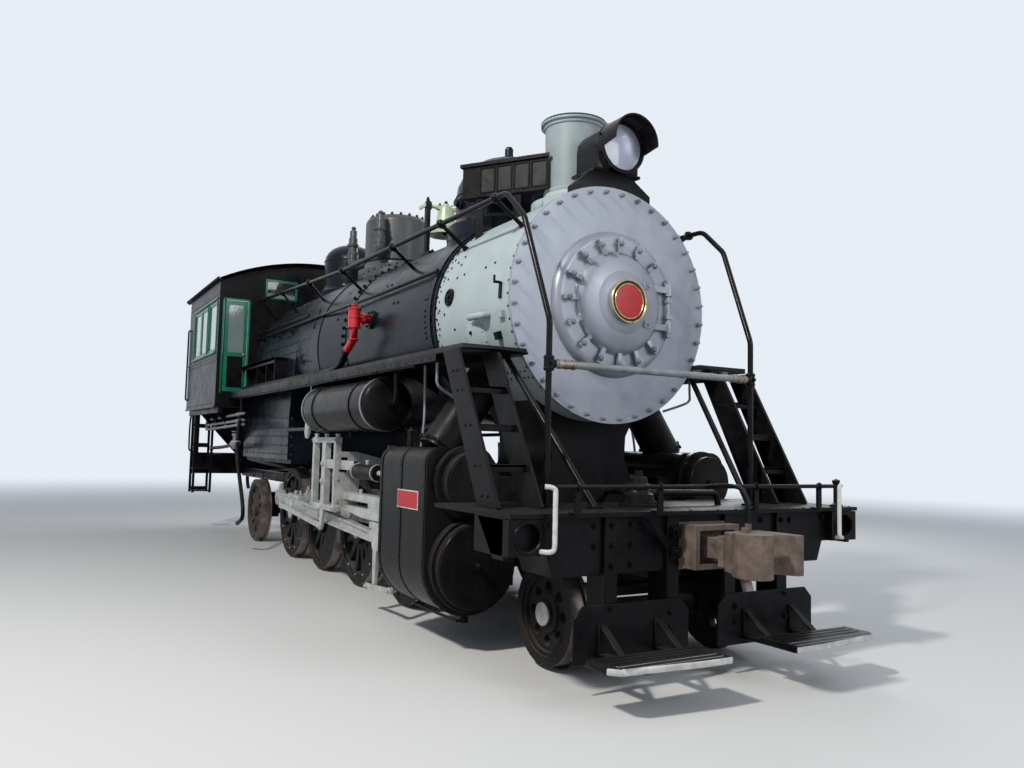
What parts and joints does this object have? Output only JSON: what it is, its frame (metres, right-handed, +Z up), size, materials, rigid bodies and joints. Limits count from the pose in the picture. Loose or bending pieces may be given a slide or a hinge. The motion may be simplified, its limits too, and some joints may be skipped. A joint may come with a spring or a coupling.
{
  "type": "steam locomotive",
  "caption": "Standard-gauge rod locomotive with turning coupled wheels, side and main rods, swinging trucks, an opening smokebox door, cab doors and a bell.",
  "frame": {"origin": "middle of the engine at the lowest point of the wheel flanges", "axes": "+X forward, +Y to the engine's left, +Z up"},
  "size_m": [11.78, 3.13, 4.362],
  "materials": {
    "boiler_paint": "glossy blue-black paint",
    "engine_black": "satin black paint",
    "smokebox_grey": "flat pale grey-green paint",
    "silver_paint": "aluminium paint",
    "rod_grey": "pale grey paint",
    "wheel_black": "black paint with worn rims",
    "trailing_wheel": "dark paint over rust",
    "valve_red": "gloss red paint",
    "trim_green": "green paint",
    "cab_paint": "satin blue-black paint",
    "roof_black": "weathered black paint",
    "bell_green": "pale green paint",
    "rail_grey": "grey paint",
    "coupler_rust": "rusty casting",
    "lamp_black": "black paint",
    "fitting_brass": "dull brass and black paint",
    "seat_leather": "dark upholstery on steel boxes",
    "floor_wood": "worn planks"
  },
  "bodies": {
    "root": {"air_pump": "engine_black", "air_reservoirs": "engine_black", "ash_pan": "engine_black", "backhead_fittings": "fitting_brass", "bell_stand": "engine_black", "boiler": "boiler_paint", "brake_rigging": "engine_black", "cab_floor": "floor_wood", "cab_roof": "roof_black", "cab_seats": "seat_leather", "cab_walls": "cab_paint", "check_valves": "valve_red", "cylinders": "engine_black", "driving_springs": "engine_black", "firebox": "boiler_paint", "frame": "engine_black", "front_coupler": "coupler_rust", "front_cross_bar": "rail_grey", "front_ladders": "engine_black", "guides": "rod_grey", "handrails": "engine_black", "headlight": "lamp_black", "number_board": "engine_black", "pilot_beam": "engine_black", "pilot_deck": "engine_black", "rear_beam": "engine_black", "rear_dome": "boiler_paint", "running_boards": "engine_black", "saddle": "engine_black", "safety_valves": "engine_black", "sand_dome": "boiler_paint", "smokebox": "smokebox_grey", "smokebox_front": "silver_paint", "smokebox_stays": "engine_black", "stack": "smokebox_grey", "stack_base": "smokebox_grey", "steam_dome": "boiler_paint", "steam_pipes": "engine_black", "valve_gear": "rod_grey", "window_frames": "trim_green"},
    "leading_truck": {"leading_truck": "engine_black"},
    "leading_wheels": {"leading_wheels": "wheel_black"},
    "trailing_truck": {"trailing_truck": "engine_black"},
    "trailing_wheels": {"trailing_wheels": "trailing_wheel"},
    "driving_axle_1": {"driving_axle_1": "wheel_black"},
    "driving_axle_2": {"driving_axle_2": "wheel_black"},
    "driving_axle_3": {"driving_axle_3": "wheel_black"},
    "driving_axle_4": {"driving_axle_4": "wheel_black"},
    "side_rods_left": {"side_rods_left": "rod_grey"},
    "side_rods_right": {"side_rods_right": "rod_grey"},
    "crosshead_left": {"crosshead_left": "rod_grey"},
    "crosshead_right": {"crosshead_right": "rod_grey"},
    "main_rod_left": {"main_rod_left": "rod_grey"},
    "main_rod_right": {"main_rod_right": "rod_grey"},
    "smokebox_door": {"smokebox_door": "silver_paint"},
    "cab_door_left": {"cab_door_left": "trim_green"},
    "cab_door_right": {"cab_door_right": "trim_green"},
    "bell": {"bell": "bell_green"}
  },
  "joints": [
    {"name": "leading_truck_swing", "type": "hinge", "parent": "root", "child": "leading_truck", "pos_m": [3.025, 0, 0.456], "axis": [0, 0, 1], "range_deg": [-3, 3]},
    {"name": "leading_wheels_turn", "type": "hinge", "parent": "leading_truck", "child": "leading_wheels", "pos_m": [4.56, 0, 0.366], "axis": [0, 1, 0], "continuous": true},
    {"name": "trailing_truck_swing", "type": "hinge", "parent": "root", "child": "trailing_truck", "pos_m": [-2.4, 0, 0.456], "axis": [0, 0, 1], "range_deg": [-3, 3]},
    {"name": "trailing_wheels_turn", "type": "hinge", "parent": "trailing_truck", "child": "trailing_wheels", "pos_m": [-3.5, 0, 0.471], "axis": [0, 1, 0], "continuous": true},
    {"name": "driving_axle_3_turn", "type": "hinge", "parent": "root", "child": "driving_axle_3", "pos_m": [-0.29, 0, 0.585], "axis": [0, 1, 0], "continuous": true},
    {"name": "driving_axle_1_turn", "type": "hinge", "parent": "root", "child": "driving_axle_1", "pos_m": [2.18, 0, 0.585], "axis": [0, 1, 0], "continuous": true},
    {"name": "driving_axle_2_turn", "type": "hinge", "parent": "root", "child": "driving_axle_2", "pos_m": [0.945, 0, 0.585], "axis": [0, 1, 0], "continuous": true},
    {"name": "driving_axle_4_turn", "type": "hinge", "parent": "root", "child": "driving_axle_4", "pos_m": [-1.525, 0, 0.585], "axis": [0, 1, 0], "continuous": true},
    {"name": "side_rods_left_turn", "type": "hinge", "parent": "driving_axle_3", "child": "side_rods_left", "pos_m": [-0.46231, 0.9, 0.33334], "axis": [0, 1, 0], "continuous": true},
    {"name": "crosshead_left_slide", "type": "slide", "parent": "root", "child": "crosshead_left", "axis": [1, 0, 0], "range_m": [-0.118, 0.4921]},
    {"name": "main_rod_left_swing", "type": "hinge", "parent": "crosshead_left", "child": "main_rod_left", "pos_m": [2.32266, 1.056, 0.623], "axis": [0, 1, 0], "range_deg": [-1.1, 11.41]},
    {"name": "side_rods_right_turn", "type": "hinge", "parent": "driving_axle_3", "child": "side_rods_right", "pos_m": [-0.54166, -0.9, 0.75731], "axis": [0, 1, 0], "continuous": true},
    {"name": "crosshead_right_slide", "type": "slide", "parent": "root", "child": "crosshead_right", "axis": [1, 0, 0], "range_m": [-0.0504, 0.5597]},
    {"name": "main_rod_right_swing", "type": "hinge", "parent": "crosshead_right", "child": "main_rod_right", "pos_m": [2.25512, -1.056, 0.623], "axis": [0, 1, 0], "range_deg": [-9.79, 2.72]},
    {"name": "smokebox_door_swing", "type": "hinge", "parent": "root", "child": "smokebox_door", "pos_m": [4.2993, 0.475, 2.598], "axis": [0, 0, 1], "range_deg": [0, 110]},
    {"name": "cab_door_left_swing", "type": "hinge", "parent": "root", "child": "cab_door_left", "pos_m": [-3.256, 1.428, 2.876], "axis": [0, 0, -1], "range_deg": [0, 90]},
    {"name": "cab_door_right_swing", "type": "hinge", "parent": "root", "child": "cab_door_right", "pos_m": [-3.256, -1.428, 2.876], "axis": [0, 0, 1], "range_deg": [0, 90]},
    {"name": "bell_swing", "type": "hinge", "parent": "root", "child": "bell", "pos_m": [1.14, 0, 4.088], "axis": [0, 1, 0], "range_deg": [-30, 30]}
  ],
  "couplings": [
    {"joint": "driving_axle_1_turn", "follows": "driving_axle_3_turn", "ratio": 1},
    {"joint": "driving_axle_2_turn", "follows": "driving_axle_3_turn", "ratio": 1},
    {"joint": "driving_axle_4_turn", "follows": "driving_axle_3_turn", "ratio": 1},
    {"joint": "side_rods_left_turn", "follows": "driving_axle_3_turn", "ratio": -1},
    {"joint": "side_rods_right_turn", "follows": "driving_axle_3_turn", "ratio": -1}
  ]
}
